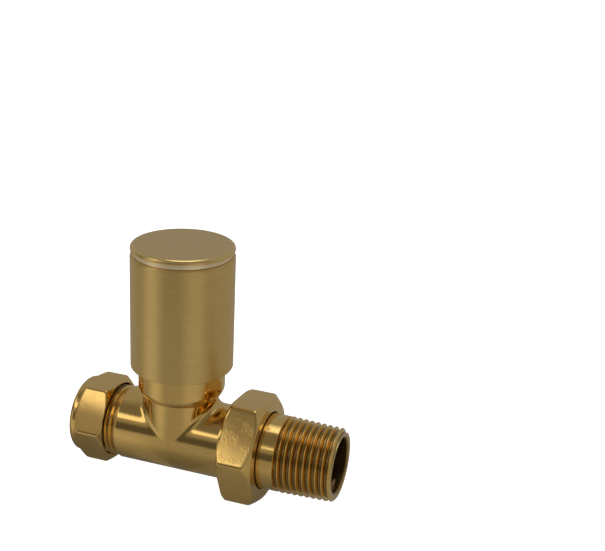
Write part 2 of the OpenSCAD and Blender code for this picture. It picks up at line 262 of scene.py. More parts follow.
def threaded_rod(name, start, end, crest, depth, pitch, taper=0.0):
    """A closed rod along the run with a real helix. A taper makes it thinner towards its end."""
    tooth = tooth_outline(crest - depth, crest, pitch)
    first = start - 2 * pitch
    turns = math.ceil((end - start) / pitch) + 3
    bpy.ops.object.select_all(action="DESELECT")
    bpy.ops.mesh.primitive_plane_add(size=MM, location=(end * MM, 0, 0))
    rod = bpy.context.object
    rod.name = rod.data.name = name
    in_edit_mode(rod)
    bpy.ops.mesh.merge(type="CENTER")
    place = Vector(((first - end + tooth[0][0]) * MM, 0, tooth[0][1] * MM))
    bpy.ops.transform.translate(value=place)
    for here, there in zip(tooth, tooth[1:]):
        step = Vector((there[0] - here[0], 0, there[1] - here[1])) * MM
        bpy.ops.mesh.extrude_vertices_move(TRANSFORM_OT_translate={"value": step})
    bpy.ops.object.mode_set(mode="OBJECT")
    screw = rod.modifiers.new("helix", "SCREW")
    screw.axis = "X"
    screw.angle = math.tau
    screw.screw_offset = pitch * MM
    screw.iterations = turns
    screw.steps = screw.render_steps = THREAD_STEPS
    screw.use_merge_vertices = True
    screw.merge_threshold = WELD
    apply_modifier(rod, screw)
    in_edit_mode(rod)
    bpy.ops.mesh.remove_doubles(threshold=2 * WELD)
    for x, direction in ((start, -1), (end, 1)):
        bpy.ops.mesh.select_all(action="SELECT")
        bpy.ops.mesh.bisect(plane_co=(x * MM, 0, 0), plane_no=(direction, 0, 0),
                            use_fill=True, clear_outer=True, threshold=0.0001 * MM)
    bpy.ops.mesh.select_all(action="SELECT")
    bpy.ops.mesh.normals_make_consistent(inside=False)
    bpy.ops.object.mode_set(mode="OBJECT")
    if taper:
        deform = rod.modifiers.new("taper", "SIMPLE_DEFORM")
        deform.deform_method = "TAPER"
        deform.deform_axis = "X"
        deform.factor = -taper * (end - start) / crest
        apply_modifier(rod, deform)
    settle(rod)
    return rod


print("one tooth has", len(tooth_outline(1, 2, 1)), "points, and a turn", THREAD_STEPS, "steps")


# %% [markdown]
# ## The body
# The body is one brass forging. A round run carries the water, and a branch of almost the same
# size stands on it. Where the two meet there is a fillet as a ball rolling in the corner would
# leave: wide at the sides and fading to nothing at the front, which draws the pointed shield
# there. No operator rolls a ball along two cylinders, so the skin starts as a circle extruded ring
# by ring, and every ring is put in its place with the formula of the ball's two lines of contact.

# %% Sizes of the body
run_r = 10.7
branch_r = 10.5
branch_top = body_high.z
fillet_r = 2.8
flare_r = 12.6
flare_end = union_nut_low.x - 0.15
flare_start = flare_end - (flare_r - run_r)
barrel_start = -6.3
PIPE_THREAD_PITCH = 1.5
GAS_THREAD_PITCH = 1.814  # fourteen turns an inch
pipe_thread_crest, pipe_thread_depth = 10.4, 0.85
pipe_thread_end = -6.8
union_thread_crest, union_thread_depth = 13.05, 1.0
union_thread_start = union_nut_low.x + 0.85
body_end = tail_low.x - 0.05
mouth_x = body_low.x

SKIN_SIDES = 320
FILLET_RINGS = 10
BARREL_RINGS = 26
CORNER_TURN = math.radians(60)
print("run", run_r, "branch", branch_r, "flare", flare_r, "mm in radius; the run is",
      round(body_end - mouth_x, 2), "mm long")


# %% Where each ring of the skin lies
def rolling_ball(turn):
    """Centre of the ball that touches the branch and the run, seen from the branch at an angle."""
    reach = branch_r + fillet_r
    across = reach * math.sin(turn)
    return Vector((reach * math.cos(turn), across,
                   math.sqrt((run_r + fillet_r) ** 2 - across ** 2)))


def fillet_place(turn, share):
    """Point on the fillet, from the branch (share 0) to the run (share 1)."""
    ball = rolling_ball(turn)
    to_branch = Vector((-math.cos(turn), -math.sin(turn), 0))
    to_run = Vector((0, -ball.y, -ball.z)).normalized()
    spread = to_branch.angle(to_run)
    mixed = (to_branch * math.sin((1 - share) * spread)
             + to_run * math.sin(share * spread)) / math.sin(spread)
    return ball + mixed * fillet_r


def barrel_place(turn, share):
    """Point on the run, from the fillet (share 0) to the barrel's ends and underside (share 1)."""
    start = fillet_place(turn, 1)
    start_roll = math.atan2(start.y, start.z)
    right, left = flare_start - spindle_x, barrel_start - spindle_x
    away = abs(math.atan2(math.sin(turn), math.cos(turn)))
    near = min(away, math.pi - away)
    end_x = right if away < math.pi / 2 else left
    if near < CORNER_TURN:
        end_roll = math.pi * near / CORNER_TURN
    else:
        end_roll = math.pi
        end_x *= (math.pi / 2 - near) / (math.pi / 2 - CORNER_TURN)
    end_roll = math.copysign(end_roll, math.sin(turn))
    roll = start_roll + (end_roll - start_roll) * share
    return Vector((start.x + (end_x - start.x) * share, run_r * math.sin(roll),
                   run_r * math.cos(roll)))


print("the fillet ends", round(fillet_place(0, 1).x, 2), "mm from the spindle line along the run,",
      round(fillet_place(math.pi / 2, 1).y, 2), "mm across it")


# %% The skin of branch, fillet and run
def body_skin():
    ring_drop = MM
    rings = 2 + FILLET_RINGS + BARREL_RINGS
    bpy.ops.object.select_all(action="DESELECT")
    bpy.ops.mesh.primitive_circle_add(vertices=SKIN_SIDES, radius=branch_r * MM,
                                      location=(spindle_x * MM, 0, 0))
    skin = bpy.context.object
    skin.name = skin.data.name = "body_casting"
    in_edit_mode(skin)
    for ring in range(1, rings):
        bpy.ops.mesh.extrude_edges_move(TRANSFORM_OT_translate={"value": (0, 0, -ring_drop)})
    bpy.ops.object.mode_set(mode="OBJECT")
    for vertex in skin.data.vertices:
        ring = round(-vertex.co.z / ring_drop)
        turn = math.atan2(vertex.co.y, vertex.co.x)
        if ring == 0:
            place = Vector((branch_r * math.cos(turn), branch_r * math.sin(turn), branch_top))
        elif ring <= FILLET_RINGS + 1:
            place = fillet_place(turn, (ring - 1) / FILLET_RINGS)
        else:
            place = barrel_place(turn, (ring - 1 - FILLET_RINGS) / BARREL_RINGS)
        vertex.co = place * MM
    in_edit_mode(skin)
    bpy.ops.mesh.remove_doubles(threshold=WELD)
    bpy.ops.object.mode_set(mode="OBJECT")
    settle(skin)
    return skin


body_casting = body_skin()
tell(body_casting)


# %% Ends of the barrel
def select_ring_at(piece, x):
    """Selects the open edges at one end of the barrel."""
    bpy.ops.mesh.select_all(action="DESELECT")
    mesh = bmesh.from_edit_mesh(piece.data)
    for edge in mesh.edges:
        if edge.is_boundary and all(abs(v.co.x - x * MM) < 0.01 * MM for v in edge.verts):
            edge.select_set(True)
    bmesh.update_edit_mesh(piece.data)


def carry_ring(outline):
    """Extrudes the selected ring along the run through (along, radius) places, then closes it."""
    for (x, radius), (next_x, next_radius) in zip(outline, outline[1:]):
        bpy.ops.mesh.extrude_edges_move(
            TRANSFORM_OT_translate={"value": ((next_x - x) * MM, 0, 0)})
        bpy.ops.transform.resize(value=(1, next_radius / radius, next_radius / radius),
                                 center_override=(next_x * MM, 0, 0))
    bpy.ops.mesh.edge_face_add()


flare_turns = [math.radians(15 * step) for step in range(7)]
flare_arc = [(flare_end - (flare_r - run_r) * (1 - math.sin(turn)),
              flare_r - (flare_r - run_r) * math.cos(turn)) for turn in flare_turns]
in_edit_mode(body_casting)
bpy.ops.mesh.select_mode(type="EDGE")
select_ring_at(body_casting, flare_start)
carry_ring(flare_arc + [(flare_end + 0.12, flare_r + 0.02), (flare_end + 0.2, flare_r - 0.1),
                        (flare_end + 0.2, 12.0), (body_end - 0.4, 11.6)])
select_ring_at(body_casting, barrel_start)
carry_ring([(barrel_start, run_r), (barrel_start - 0.3, run_r - 0.12),
            (pipe_thread_end, run_r - 0.45), (pipe_thread_end - 0.1, run_r - 0.7),
            (pipe_thread_end - 0.1, 9.2), (mouth_x + 0.5, 9.15)])
bpy.ops.mesh.select_mode(type="VERT")
bpy.ops.mesh.select_all(action="DESELECT")
mesh = bmesh.from_edit_mesh(body_casting.data)
for edge in mesh.edges:
    if edge.is_boundary:
        edge.select_set(True)
bmesh.update_edit_mesh(body_casting.data)
bpy.ops.mesh.edge_face_add()
bpy.ops.mesh.select_all(action="SELECT")
bpy.ops.mesh.normals_make_consistent(inside=False)
bpy.ops.object.mode_set(mode="OBJECT")
tell(body_casting)

# %% Its two outside threads
pipe_thread = threaded_rod("pipe_thread", mouth_x, pipe_thread_end + 0.3,
                           pipe_thread_crest, pipe_thread_depth, PIPE_THREAD_PITCH)
combine(body_casting, pipe_thread, "UNION")
union_thread = threaded_rod("union_thread", union_thread_start - 0.2, body_end,
                            union_thread_crest, union_thread_depth, GAS_THREAD_PITCH)
combine(body_casting, union_thread, "UNION")
tell(body_casting)

# %% [markdown]
# ## The water ways
# The water ways are drilled and bored out of the solid: the socket for the pipe with its coned
# mouth, a low hole to the seat, the seat with the chamber above it, and a high hole to the outlet.
# Each drill is turned on the same lathe and taken away from the body.

# %% Drills
DRILL_STEPS = 96


def drill(outline, upright=False, lift=0.0):
    """A turned cutter, lifted off the axis where the hole is not central."""
    cutter = turned("drill", outline, upright, steps=DRILL_STEPS)
    cutter.location = (0, 0, lift * MM)
    settle(cutter)
    combine(body_casting, cutter, "DIFFERENCE")


socket_r, outlet_r, water_r = 7.6, 7.9, 3.9
socket_depth = 12.6
low_hole_z, high_hole_z = -3.4, 5.2
seat_z, headwork_z, branch_mouth_z = 3.9, 9.5, 15.8
chamber_r, headwork_r, branch_mouth_r = 7.6, 8.57, 9.7
drill([(mouth_x - 1, 0), (mouth_x - 1, 10), (mouth_x, 9), (-socket_depth, socket_r),
       (-0.2, socket_r), (0, socket_r - 0.2), (0, 0)])
drill([(-1, 0), (-1, water_r), (spindle_x + 2.5, water_r), (spindle_x + 4.5, 0)],
      lift=low_hole_z)
drill([(low_hole_z, 0), (low_hole_z, water_r), (seat_z, water_r), (seat_z, chamber_r),
       (seat_z + 0.5, chamber_r), (headwork_z, chamber_r), (headwork_z, headwork_r),
       (branch_mouth_z, headwork_r), (branch_mouth_z, branch_mouth_r), (18, branch_mouth_r),
       (18, 0)], upright=True)
drill([(spindle_x + 6.2, 0), (spindle_x + 6.2, water_r), (28, water_r), (28, 0)],
      lift=high_hole_z)
drill([(27, 0), (27, outlet_r), (body_end - 0.4, outlet_r), (body_end + 1, outlet_r + 1.4),
       (body_end + 1, 0)])
smooth(body_casting)
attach(body_casting, "body")
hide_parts("valve_body")

# %% [markdown]
# ## The two nuts
# A nut is a turned blank with six flats milled off it, buffed until no edge is sharp. Cutting flats
# with a plane leaves edges that a bevel can only round by a hair. So a ring of points is extruded
# along the outline instead, and every ring is pulled in to the flats by a soft minimum: the smaller
# of two radii, with the change between them rounded. The flats are crowned a little, as buffing
# leaves them, and that is what makes light fade across them.

# %% Soft minimum and flats
NUT_SIDES = 288
EDGE_SHARPNESS = 110


def softer_minimum(radii):
    """The smallest of some radii, but rounded where two are nearly the same."""
    return sum(radius ** -EDGE_SHARPNESS for radius in radii) ** (-1 / EDGE_SHARPNESS)


def flats_radius(turn, flats, first_turn, crown_r):
    """Radius of a hexagon at a turn round the axis, its flats bulging to the crown's radius."""
    radii = []
    for side in range(6):
        off = turn - first_turn - side * math.tau / 6
        if math.cos(off) > 0.45:
            inset = flats / 2 - crown_r
            bow = math.sqrt(crown_r ** 2 - (inset * math.sin(off)) ** 2)
            radii.append(inset * math.cos(off) + bow)
    return softer_minimum(radii)


print("two radii of 10 mm meet softly at", round(softer_minimum((10, 10)), 3), "mm")


# %% A nut, ring by ring
def nut(name, outline, flats, first_turn, milled_from, crown_r):
    """A closed nut from a turned outline.

    Rings at or beyond milled_from along the run get flats, unless they belong to the bore.
    """
    ring_step = MM
    bore_limit = 0.45 * flats - 0.9
    bpy.ops.object.select_all(action="DESELECT")
    bpy.ops.mesh.primitive_circle_add(vertices=NUT_SIDES, radius=MM, rotation=(0, math.pi / 2, 0))
    piece = bpy.context.object
    piece.name = piece.data.name = name
    settle(piece)
    in_edit_mode(piece)
    for ring in range(1, len(outline)):
        bpy.ops.mesh.extrude_edges_move(TRANSFORM_OT_translate={"value": (ring_step, 0, 0)})
    bpy.ops.object.mode_set(mode="OBJECT")
    for vertex in piece.data.vertices:
        x, radius = outline[round(vertex.co.x / ring_step)]
        turn = math.atan2(vertex.co.z, -vertex.co.y)
        if x >= milled_from - 0.001 and radius > bore_limit:
            hexagon = flats_radius(turn, flats, first_turn, crown_r)
            radius = softer_minimum((radius, hexagon))
        vertex.co = Vector((x, -radius * math.cos(turn), radius * math.sin(turn))) * MM
    in_edit_mode(piece)
    bpy.ops.mesh.remove_doubles(threshold=WELD)
    bpy.ops.mesh.normals_make_consistent(inside=False)
    bpy.ops.object.mode_set(mode="OBJECT")
    return piece


def filled(outline, longest=0.25):
    """Adds points so that no step of the outline is long."""
    points = [Vector(outline[0])]
    for there in outline[1:]:
        here, there = points[-1], Vector(there)
        steps = max(1, math.ceil((there - here).length / longest))
        points += [here.lerp(there, step / steps) for step in range(1, steps + 1)]
    return points


print("a step of 1 mm is filled with", len(filled([(0, 1), (1, 1)])), "points")

# %% Compression nut on the pipe end
MILLED_CREASE = 40
pipe_across = 22.7
crown_rise = 0.3  # crowned flats stand this much further apart at their middles
pipe_corner = pipe_across / math.sqrt(3)
pipe_flat_turn = math.radians(31.5)
face_x, hex_right = pipe_nut_low.x, pipe_nut_high.x
hex_left = face_x + 2.3
nose_r, pipe_hole_r, pipe_nut_thread_r = 11.2, 7.85, 10.55
thread_stop_x, cone_end_x = -16.2, -18.5
pipe_nut = nut("pipe_nut", filled(rounded([
    (thread_stop_x, pipe_nut_thread_r, 0), (thread_stop_x, 9.8, 0),
    (cone_end_x, pipe_hole_r + 0.3, 0), (cone_end_x, pipe_hole_r, 0),
    (face_x + 0.4, pipe_hole_r, 0), (face_x, 8.2, 0), (face_x, nose_r, 1.3),
    (hex_left - 0.1, nose_r, 0.1), (hex_left, nose_r + 0.25, 0.1),
    (hex_left + 1.5, pipe_corner + 0.15, 1.2), (hex_right - 1.2, pipe_corner + 0.15, 1.0),
    (hex_right, 11.5, 0.3), (hex_right, 10.95, 0.1), (hex_right - 0.7, pipe_nut_thread_r, 0),
    (thread_stop_x, pipe_nut_thread_r, 0)])),
    pipe_across + crown_rise, pipe_flat_turn, hex_left, crown_r=180)
smooth(pipe_nut, crease=MILLED_CREASE)
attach(pipe_nut, "pipe_nut")
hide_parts("compression_nut")

# %% Union nut
union_across = 28.7
union_corner = union_across / math.sqrt(3)
union_flat_turn = math.radians(36.5)
left, right = union_nut_low.x, union_nut_high.x
lip_x, lip_r, union_nut_thread_r = 35.1, 11.0, 13.15
blank_r = union_corner - 0.05
coupling_nut = nut("coupling_nut", filled(rounded([
    (lip_x, lip_r, 0), (lip_x, union_nut_thread_r, 0), (left + 0.5, union_nut_thread_r, 0),
    (left, 13.5, 0), (left, 15.5, 0.3), (left + 0.8, blank_r, 0.6),
    (right - 2.0, blank_r, 1.1), (right, 14.2, 0.3), (right, lip_r + 0.3, 0.1),
    (right - 0.3, lip_r, 0.05), (lip_x, lip_r, 0)])),
    union_across, union_flat_turn, left, crown_r=500)
smooth(coupling_nut, crease=MILLED_CREASE)
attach(coupling_nut, "tail_nut")
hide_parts("union_nut")

# %% [markdown]
# ## The tail
# The tail screws into the radiator. Its flange is held inside the union nut, then comes a plain
# shank, then nine turns of tapered half inch pipe thread. Two lugs inside the bore take the key
# that turns it.

# %% Flange and shank, then thread, bore and lugs
tail_face, tail_end = tail_low.x, tail_high.x
flange_r, flange_end, shank_r = 12.4, 35.0, 10.78
thread_start = 42.4
tail_thread_crest, tail_thread_depth = 10.4, 1.16
radiator_tail = turned("radiator_tail", rounded([
    (tail_face, 0, 0), (tail_face, flange_r, 0.3), (flange_end, flange_r, 0.2),
    (flange_end, shank_r, 0), (thread_start - 0.35, shank_r, 0.2), (thread_start, 9.7, 0),
    (thread_start + 4, 9.2, 0), (thread_start + 4, 0, 0)]))
tail_thread = threaded_rod("tail_thread", thread_start - 0.2, tail_end, tail_thread_crest,
                           tail_thread_depth, GAS_THREAD_PITCH, taper=1 / 32)
envelope = turned("envelope", [(thread_start - 2, 0), (thread_start - 2, 10.6),
                               (thread_start, 12), (tail_end - 1.1, 12), (tail_end - 1.1, 10.9),
                               (tail_end - 0.01, 9.8), (tail_end - 0.01, 0)])
combine(tail_thread, envelope, "INTERSECT")
combine(radiator_tail, tail_thread, "UNION")
bore = turned("bore", [(tail_face - 1, 0), (tail_face - 1, 8.3), (tail_face + 0.4, outlet_r),
                       (tail_end - 0.5, outlet_r), (tail_end + 0.5, outlet_r + 1),
                       (tail_end + 0.5, 0)])
combine(radiator_tail, bore, "DIFFERENCE")
tell(radiator_tail)

# %% Lugs for the fitting key
lug_length, lug_width, lug_height = 14, 3, 2.9
lug_root_r = 8.1  # a little outside the bore, so that each lug grows out of its wall
for side in (-1, 1):
    bpy.ops.object.select_all(action="DESELECT")
    bpy.ops.mesh.primitive_cube_add(
        size=MM, location=((tail_end - 1.5 - lug_length / 2) * MM, 0,
                           side * (lug_root_r - lug_height / 2) * MM),
        scale=(lug_length, lug_width, lug_height))
    lug = bpy.context.object
    settle(lug)
    soften(lug, 0.4)
    combine(radiator_tail, lug, "UNION")
smooth(radiator_tail, crease=MILLED_CREASE)
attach(radiator_tail, "tail")
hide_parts("union_tail")

# %% [markdown]
# ## The cap
# The cap hides the spindle. Its sleeve is a brushed tube, a polished band sits back under the lid,
# and the lid is a thick disc with a rounded rim. Below it a small cup hides the hexagon of the
# headwork. All are plain turnings, so their outlines carry the detail.

# %% Shroud cup
cup_r, cup_round = cup_high.x - spindle_x, 3.4
cup_arc_z, cup_foot_r = 16.0, 10.65
lowest = math.acos((cup_foot_r - cup_r + cup_round) / cup_round)
cup_turns = [lowest * step / 14 for step in range(15)]
cup_curve = [(cup_arc_z - cup_round * math.sin(turn), cup_r - cup_round * (1 - math.cos(turn)))
             for turn in cup_turns]
shroud = turned("shroud", rounded([
    (cup_high.z, cup_r - 1.1, 0), (cup_high.z, cup_r - 0.1, 0), (cup_high.z - 0.1, cup_r, 0)])
    + cup_curve + rounded([
        (cup_low.z - 0.05, 10.58, 0), (cup_low.z + 0.1, 10.53, 0), (17.02, 10.53, 0),
        (17.02, 8.7, 0), (18, 8.7, 0), (18, cup_r - 1.1, 0.5), (cup_high.z, cup_r - 1.1, 0)]),
    upright=True)
smooth(shroud)
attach(shroud, "body")
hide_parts("shroud_cup")

# %% Sleeve
sleeve_r = sleeve_high.x - spindle_x
sleeve_in = sleeve_r - 0.92
half_way = (sleeve_low.z + sleeve_high.z) / 2
sleeve = turned("sleeve", rounded([
    (half_way, sleeve_in, 0), (sleeve_low.z, sleeve_in, 0.1), (sleeve_low.z, sleeve_r, 0.18),
    (sleeve_high.z, sleeve_r, 0.55), (sleeve_high.z, sleeve_in, 0.1), (half_way, sleeve_in, 0)]),
    upright=True)
smooth(sleeve)
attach(sleeve, "cap")
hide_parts("cap_sleeve")

# %% Band and lid
band_low, band_high = box_mm("cap_band")
band_r = band_high.x - spindle_x
gap, liner_wall = 0.02, 0.97
spigot_r = sleeve_in - gap - liner_wall - gap
cap_collar = turned("cap_collar", rounded([
    (band_low.z, spigot_r + gap, 0), (band_low.z, band_r, 0.1), (band_high.z, band_r, 0.1),
    (band_high.z, spigot_r + gap, 0), (band_low.z, spigot_r + gap, 0)]), upright=True)
smooth(cap_collar)
lid_r = lid_high.x - spindle_x
lid_underside = band_high.z + gap
lid = turned("lid", rounded([
    (lid_underside, 0, 0), (lid_underside, spigot_r - 1.3, 0), (lid_low.z, spigot_r - 1.3, 0.1),
    (lid_low.z, spigot_r, 0.3), (lid_underside, spigot_r, 0), (lid_underside, lid_r, 0.3),
    (lid_high.z, lid_r, 1.0), (lid_high.z, 8, 0), (lid_high.z, 0, 0)], pieces=9), upright=True)
smooth(lid)
for piece, node, slot in ((cap_collar, "cap_band", "polished_brass"),
                          (lid, "cap_lid", "satin_brass")):
    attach(piece, "cap")
    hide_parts(node)


# %% [markdown]
# ## Finishes
# Shader sums are written as Python: a Wire stands for one output of a node, and adding or
# multiplying wires adds the Math nodes. Any other node comes from one method. Wiring each node by
# name would work too; sums stay short enough to read and compare.

# %% Wires and nodes
class Wire:
    """One output socket of a node tree."""

    def __init__(self, tree, socket):
        self.tree, self.socket = tree, socket

    def maths(self, operation, *others):
        values = dict(enumerate((self, *others)))
        return self.tree.node("ShaderNodeMath", {"operation": operation}, values)

    def __add__(self, other):
        return self.maths("ADD", other)

    def __sub__(self, other):
        return self.maths("SUBTRACT", other)

    def __rsub__(self, other):
        return (self * -1) + other

    def __mul__(self, other):
        return self.maths("MULTIPLY", other)

    def __truediv__(self, other):
        return self.maths("DIVIDE", other)

    def __pow__(self, other):
        return self.maths("POWER", other)

    __radd__, __rmul__ = __add__, __mul__

    def clipped(self):
        return self.maths("MINIMUM", 1.0).maths("MAXIMUM", 0.0)

    def between(self, low, high):
        """0 below low, 1 above high, smooth in between."""
        return self.tree.node("ShaderNodeMapRange", {"interpolation_type": "SMOOTHSTEP"},
                              {0: self, 1: low, 2: high, 3: 0.0, 4: 1.0})


class Tree:
    """A node tree of a material or of the world."""

    def __init__(self, owner):
        owner.use_nodes = True
        self.nodes, self.links = owner.node_tree.nodes, owner.node_tree.links
        self.nodes.clear()

    def node(self, kind, settings=None, values=None, output=0):
        """Adds a node: its settings first, then a value or a wire for each socket."""
        node = self.nodes.new(kind)
        for name, setting in (settings or {}).items():
            setattr(node, name, setting)
        for socket, value in (values or {}).items():
            if isinstance(value, Wire):
                self.links.new(value.socket, node.inputs[socket])
            else:
                node.inputs[socket].default_value = value
        return Wire(self, node.outputs[output]) if node.outputs else None

    def parts(self, vector):
        """The x, y and z of a vector, as three wires."""
        split = self.node("ShaderNodeSeparateXYZ", None, {0: vector})
        return [Wire(self, socket) for socket in split.socket.node.outputs]

    def mix(self, factor, first, second):
        return self.node("ShaderNodeMix", {"data_type": "RGBA"},
                         {0: factor, 6: first, 7: second}, output=2)


print("wires can be added, multiplied, raised and mixed")


# %% Patterns that every finish shares
class Finish(Tree):
    """A material whose patterns are measured in millimetres on the piece itself."""

    def __init__(self, name):
        self.material = bpy.data.materials.new(name)
        super().__init__(self.material)
        self.place = self.node("ShaderNodeTexCoord", output=3)
        self.x, self.y, self.z = self.parts(self.place)

    def moved(self, scale, location=(0, 0, 0)):
        return self.node("ShaderNodeMapping", {"vector_type": "POINT"},
                         {"Vector": self.place, "Scale": scale, "Location": location})

    def noise(self, scale, stretch=(1, 1, 1), detail=2.0, rough=0.5, location=(0, 0, 0)):
        """Noise with a grain size in millimetres, longer where stretch is larger."""
        size = tuple(1 / (scale * MM * s) for s in stretch)
        return self.node("ShaderNodeTexNoise", {"noise_dimensions": "3D"},
                         {"Vector": self.moved(size, location), "Scale": 1.0, "Detail": detail,
                          "Roughness": rough})

    def metal(self, colour, roughness, normal, metallic=1.0, brushed=0.0):
        """Brushing spreads the shine up and down, square to lines that run round the piece."""
        shader = self.node("ShaderNodeBsdfPrincipled", None, {
            "Base Color": colour, "Metallic": metallic, "Roughness": roughness, "Normal": normal,
            "Anisotropic": brushed, "Anisotropic Rotation": 0.25})
        self.node("ShaderNodeOutputMaterial", None, {"Surface": shader})
        return self.material

    def plain(self, colour, roughness, normal):
        return self.metal(colour, roughness, normal, metallic=0.0)

    def bump(self, height, strength, distance):
        return self.node("ShaderNodeBump", None, {
            "Height": height, "Strength": strength, "Distance": distance * MM})


print("a finish can use:", ", ".join(name for name in vars(Finish) if name[0] != "_"))

# %% [markdown]
# ### Polished brass
# Buffed brass is a mirror from far off. Close by it has clouds of haze, scratches and a ripple
# under the shine. Thread roots and the gap beside a nut are painted dark and dull: painted shade,
# with some dirt where no wheel reaches. All of that is noise on colour, roughness and bump, in the
# piece's own coordinates, so it stays in place when the piece moves. A picture could carry the same
# marks, but it would show seams.

# %% Polished brass
# Colour of the painted shade and dirt in thread roots and in the gap beside a nut.
painted_shade_and_dirt_brass = (0.075, 0.042, 0.016, 1)


def polished_brass(name, thread=None, gap=None, pitted=False):
    """Buffed brass: clouds of haze, a slight ripple under the shine, fine scratches and pits.

    A thread is (where it starts, where it ends, root radius at the start, taper): its roots get
    painted shade and dirt, dark and dull. A gap gets the same painted shade and dirt between two
    places along the run.
    """
    finish = Finish(name)
    off_centre = ((finish.y * finish.y + finish.z * finish.z) ** 0.5) / MM
    along = finish.x / MM
    # Painted shade with dirt: thread roots and nut gaps are darkened in the colour below.
    shade_and_dirt_patches = finish.noise(0.5, detail=3, location=(6, 6, 1))
    painted_shade_and_dirt = shade_and_dirt_patches * 0  # nothing is dull until a thread or a gap says so
    if thread:
        start, end, root, narrowing = thread
        within = along.between(start - 0.3, start) * (1 - along.between(end, end + 0.3))
        height_above = off_centre - root + (along - start) * narrowing
        painted_shade_and_dirt = within * (1 - height_above.between(0.0, 0.42)) * (0.50 + shade_and_dirt_patches * 0.5)
    if gap:
        inside = along.between(gap[0] - 0.1, gap[0]) * (1 - along.between(gap[1] - 0.15, gap[1]))
        painted_shade_and_dirt = painted_shade_and_dirt.maths("MAXIMUM", inside)
    painted_shade_and_dirt = painted_shade_and_dirt.clipped()
    clouds = finish.noise(6, detail=3)
    haze = finish.noise(1.4, detail=4, location=(3, 1, 2))
    tarnish = finish.noise(2.6, detail=5, rough=0.7, location=(9, 2, 6)).between(0.52, 0.78)
    colour = finish.mix(clouds, (0.76, 0.50, 0.165, 1), (0.86, 0.59, 0.205, 1))
    colour = finish.mix(tarnish * 0.4, colour, (0.60, 0.36, 0.11, 1))
    scratch = finish.noise(0.16, stretch=(26, 1, 9), detail=2, location=(1, 8, 3))
    scratches = scratch.between(0.60, 0.72)
    pit_spacing = 1.7 * MM
    pits = 1 - finish.node("ShaderNodeTexVoronoi", {"feature": "F1"}, {
        "Vector": finish.moved((1 / pit_spacing,) * 3), "Scale": 1.0}).between(0.05, 0.13)
    # Mixes in the painted shade and dirt.
    colour = finish.mix(painted_shade_and_dirt * 0.90, colour, painted_shade_and_dirt_brass)
    rough = 0.05 + haze * 0.06 + tarnish * 0.09 + scratches * 0.05 + painted_shade_and_dirt * 0.3
    ripple = finish.noise(3.0, detail=1, location=(7, 4, 1))
    grain = finish.noise(0.35, detail=2, location=(2, 2, 5))
    ripple_share = 0.16 if pitted else 0.4
    height = ripple * ripple_share + grain * 0.07 - pits * 0.2 - scratches * 0.05
    if pitted:
        patch = finish.noise(5, detail=2, location=(8, 3, 2)).between(0.46, 0.60)
        orange_peel = finish.noise(0.60, detail=2, rough=0.6, location=(1, 2, 9))
        height = height + patch * orange_peel.between(0.45, 0.62) * 0.22
        rough = rough + patch * 0.03
    normal = finish.bump(height, 0.3, 0.05)
    return finish.metal(colour, rough.clipped(), normal)


polished = polished_brass("polished brass")
# The body and the tail get painted shade and dirt in their thread roots and beside their nuts.
body_finish = polished_brass("polished brass, body",
                             thread=(mouth_x, pipe_thread_end + 0.1, 9.45, 0.0),
                             gap=(-10.7, -9.75))
tail_finish = polished_brass("polished brass, tail",
                             thread=(thread_start + 0.1, tail_end - 0.2, 9.72, 0.0276),
                             gap=(36.0, 37.55))
nut_finish = polished_brass("polished brass, coupling nut", pitted=True)
print("made:", polished.name, "and its forms for the body, the tail and the coupling nut")

# %% [markdown]
# ### Brushed and satin brass
# The sleeve was brushed while it turned, so its lines run round it and its shine spreads up and
# down: stretched noise draws the lines, and the shader's own anisotropy spreads the shine. The
# lid's top is satin with a buffed rim. The band under it is painted paler: a painted highlight.

# %% Brushed brass
def brushed_brass(name):
    """Satin brass brushed round and round: long thin lines one above another."""
    finish = Finish(name)
    lines = finish.noise(0.20, stretch=(24, 24, 1), detail=3, rough=0.75)
    fine = finish.noise(0.08, stretch=(40, 40, 1), detail=2, location=(2, 5, 9))
    clouds = finish.noise(6, stretch=(1, 1, 2), detail=2)
    shade = (lines - 0.5) * 1.1 + (fine - 0.5) * 0.9 + 0.5
    colour = finish.mix(shade.clipped(), (0.64, 0.44, 0.16, 1), (0.90, 0.65, 0.255, 1))
    rough = 0.30 + (shade - 0.5) * 0.08 + clouds * 0.04
    normal = finish.bump(shade, 0.3, 0.015)
    return finish.metal(colour, rough.clipped(), normal, brushed=0.7)


brushed = brushed_brass("brushed brass")
print("made:", brushed.name)


# %% Satin top with a polished rim
def lid_brass(name, rim_r):
    """The lid is satin on top; its rounded rim was buffed bright."""
    finish = Finish(name)
    across, deep = finish.x / MM - spindle_x, finish.y / MM
    rim = ((across * across + deep * deep) ** 0.5).between(rim_r - 1.15, rim_r - 0.75)
    lines = finish.noise(0.13, stretch=(1, 30, 1), detail=3, rough=0.6)
    dust = finish.noise(0.5, detail=4, rough=0.7, location=(4, 4, 4))
    clouds = finish.noise(5, detail=2, location=(1, 3, 5))
    shade = lines * 0.55 + dust * 0.30 + clouds * 0.15
    colour = finish.mix(shade, (0.66, 0.48, 0.215, 1), (0.80, 0.60, 0.29, 1))
    colour = finish.mix(rim, colour, (0.84, 0.61, 0.25, 1))
    rough = (0.34 + shade * 0.12) * (1 - rim) + rim * 0.20
    normal = finish.bump(shade * (1 - rim), 0.4, 0.012)
    return finish.metal(colour, rough.clipped(), normal)


lid_finish = lid_brass("satin lid brass", lid_r)
print("made:", lid_finish.name, "with a bright rim outside", round(lid_r - 1.15, 2), "mm")


